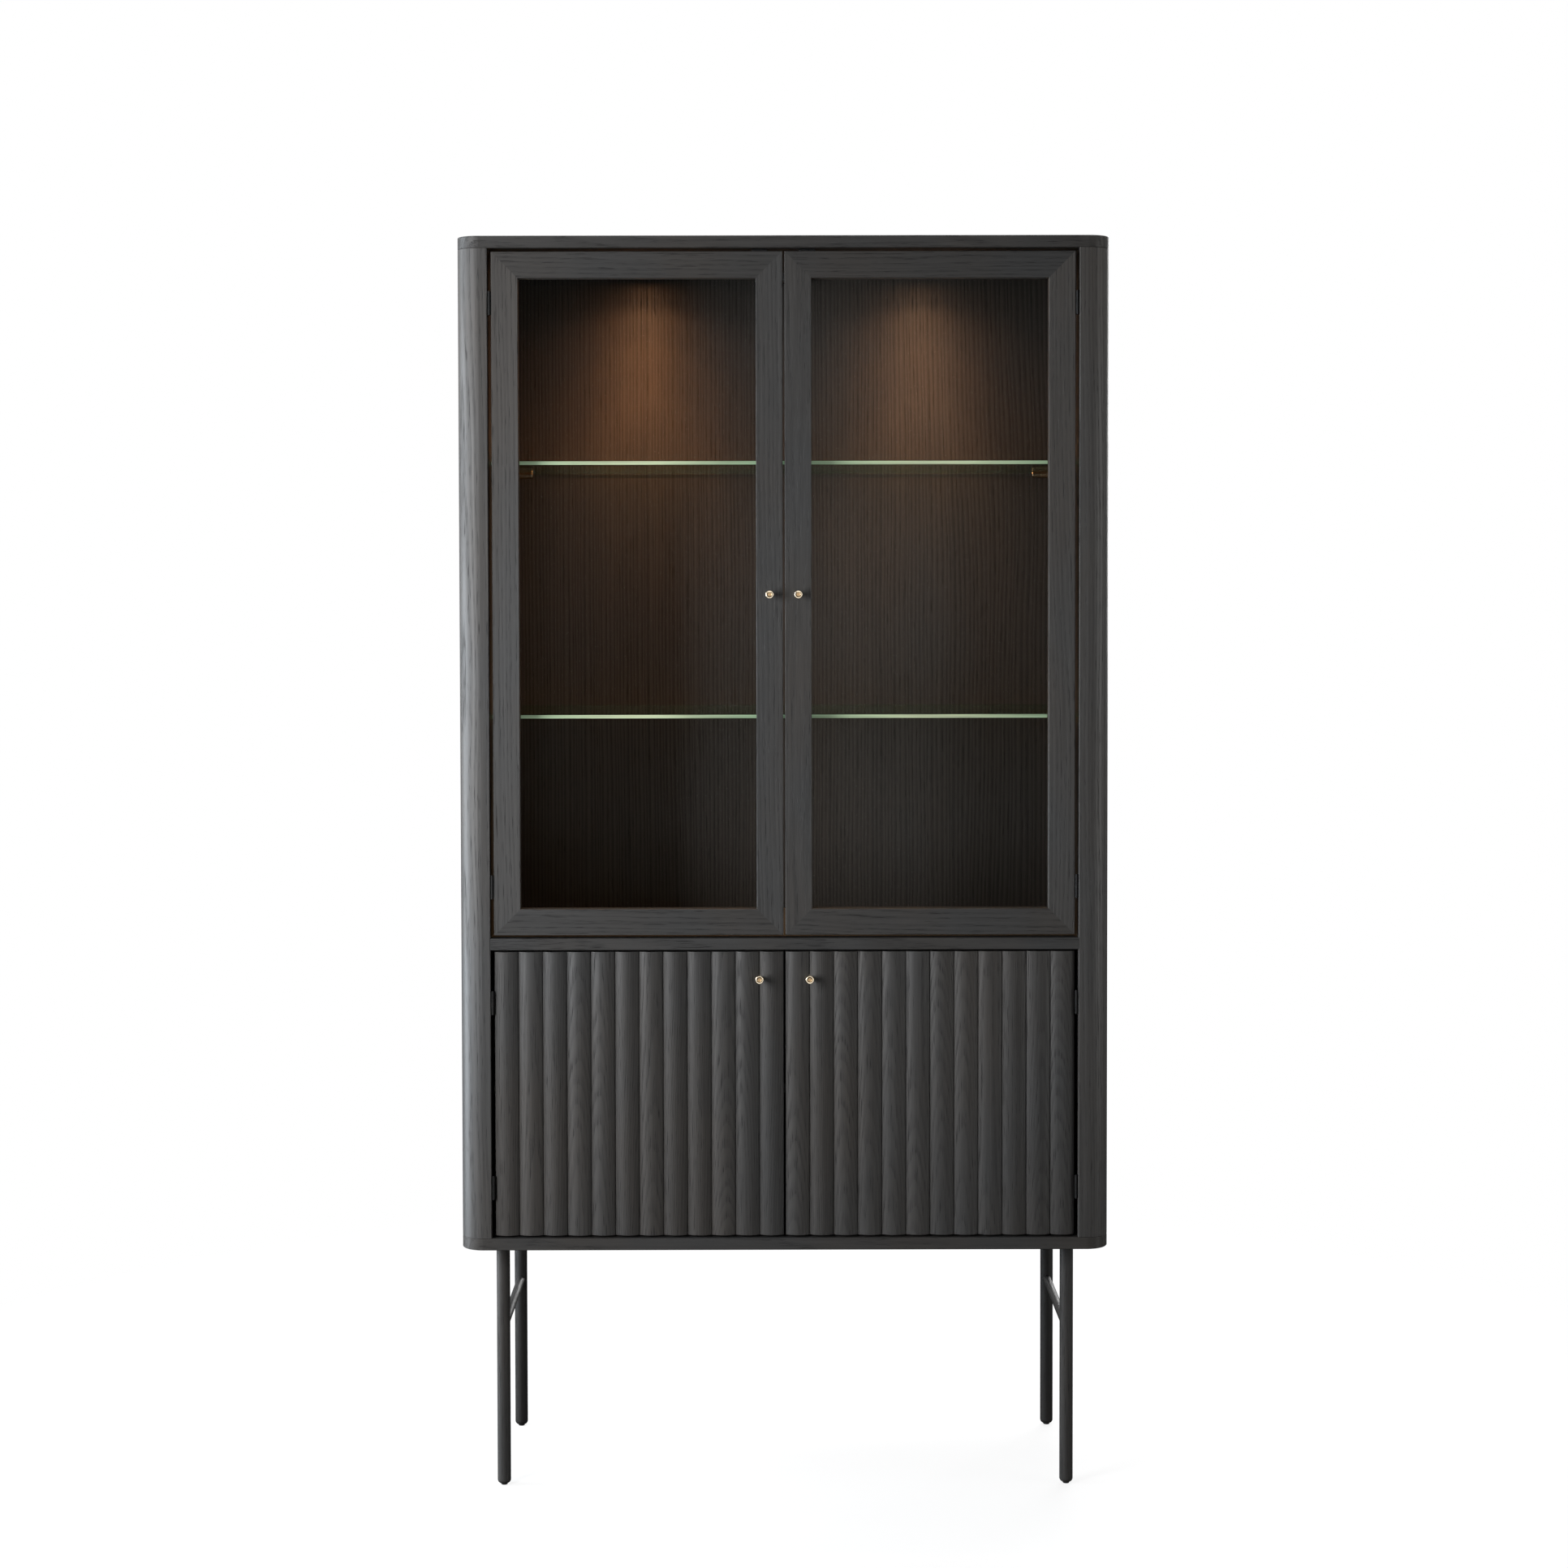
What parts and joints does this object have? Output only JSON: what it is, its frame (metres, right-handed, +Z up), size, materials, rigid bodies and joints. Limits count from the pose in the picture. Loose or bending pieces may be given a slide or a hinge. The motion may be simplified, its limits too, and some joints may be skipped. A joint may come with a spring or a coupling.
{
  "type": "display cabinet",
  "caption": "Tall free-standing display cabinet: glazed doors over lit glass shelves, ribbed doors over a cupboard, on slim round legs with side rails.",
  "frame": {"origin": "on the floor, under the middle of the whole object with its door knobs", "axes": "+Z up, +X to the right seen from the front, the doors face -Y"},
  "size_m": [0.98, 0.417, 1.9],
  "materials": {
    "board_wood": "black-stained open-grain oak veneer, satin lacquer",
    "case_wood": "black-stained open-grain oak veneer, satin lacquer",
    "back_wood": "dark brown-black stained oak veneer, matt",
    "shelf_wood": "black-stained oak veneer, satin",
    "door_wood": "black-stained solid oak, satin lacquer",
    "panel_wood": "black-stained oak veneer, satin",
    "slat_wood": "black-stained solid oak, bowed and satin lacquered",
    "leg_wood": "black-stained turned oak, satin lacquer",
    "shelf_glass": "clear float glass with green ground edges",
    "pane_glass": "clear float glass",
    "brass": "brushed brass",
    "steel": "zinc-plated steel",
    "black_metal": "black painted steel",
    "black_plastic": "black moulded plastic",
    "lamp_lens": "frosted warm white diffuser",
    "lead_rubber": "black insulated lead"
  },
  "bodies": {
    "case": {"back_panel": "back_wood", "bottom_board": "board_wood", "cable_grommet": "black_plastic", "case_screws": "steel", "front_left_leg": "leg_wood", "front_right_leg": "leg_wood", "glass_shelves": "shelf_glass", "hinge_pins": "black_metal", "lead_clips": "black_plastic", "left_corner_post": "case_wood", "left_side_panel": "case_wood", "leg_glides": "black_plastic", "leg_plates": "steel", "leg_rails": "leg_wood", "light_driver": "black_plastic", "light_housings": "black_metal", "light_leads": "lead_rubber", "light_lenses": "lamp_lens", "magnet_catches": "black_plastic", "middle_board": "board_wood", "rear_left_leg": "leg_wood", "rear_right_leg": "leg_wood", "right_corner_post": "case_wood", "right_side_panel": "case_wood", "shelf_pins": "brass", "top_board": "board_wood", "wall_hinge_leaves": "black_metal", "wooden_shelf": "shelf_wood"},
    "lower_left_door": {"lower_left_hinge_leaves": "black_metal", "lower_left_knob": "brass", "lower_left_panel": "panel_wood", "lower_left_screws": "steel", "lower_left_slats": "slat_wood", "lower_left_strike": "steel"},
    "lower_right_door": {"lower_right_hinge_leaves": "black_metal", "lower_right_knob": "brass", "lower_right_panel": "panel_wood", "lower_right_screws": "steel", "lower_right_slats": "slat_wood", "lower_right_strike": "steel"},
    "upper_left_door": {"upper_left_bottom_rail": "door_wood", "upper_left_glass": "pane_glass", "upper_left_glazing_beads": "door_wood", "upper_left_hinge_leaves": "black_metal", "upper_left_hinge_stile": "door_wood", "upper_left_knob": "brass", "upper_left_lock_stile": "door_wood", "upper_left_screws": "steel", "upper_left_strike": "steel", "upper_left_top_rail": "door_wood"},
    "upper_right_door": {"upper_right_bottom_rail": "door_wood", "upper_right_glass": "pane_glass", "upper_right_glazing_beads": "door_wood", "upper_right_hinge_leaves": "black_metal", "upper_right_hinge_stile": "door_wood", "upper_right_knob": "brass", "upper_right_lock_stile": "door_wood", "upper_right_screws": "steel", "upper_right_strike": "steel", "upper_right_top_rail": "door_wood"}
  },
  "joints": [
    {"name": "upper_left_door_hinge", "type": "hinge", "parent": "case", "child": "upper_left_door", "pos_m": [-0.44025, -0.188, 1.364], "axis": [0, 0, -1], "range_deg": [0, 110]},
    {"name": "upper_right_door_hinge", "type": "hinge", "parent": "case", "child": "upper_right_door", "pos_m": [0.44025, -0.188, 1.364], "axis": [0, 0, 1], "range_deg": [0, 110]},
    {"name": "lower_left_door_hinge", "type": "hinge", "parent": "case", "child": "lower_left_door", "pos_m": [-0.44025, -0.188, 0.61075], "axis": [0, 0, -1], "range_deg": [0, 110]},
    {"name": "lower_right_door_hinge", "type": "hinge", "parent": "case", "child": "lower_right_door", "pos_m": [0.44025, -0.188, 0.61075], "axis": [0, 0, 1], "range_deg": [0, 110]}
  ]
}
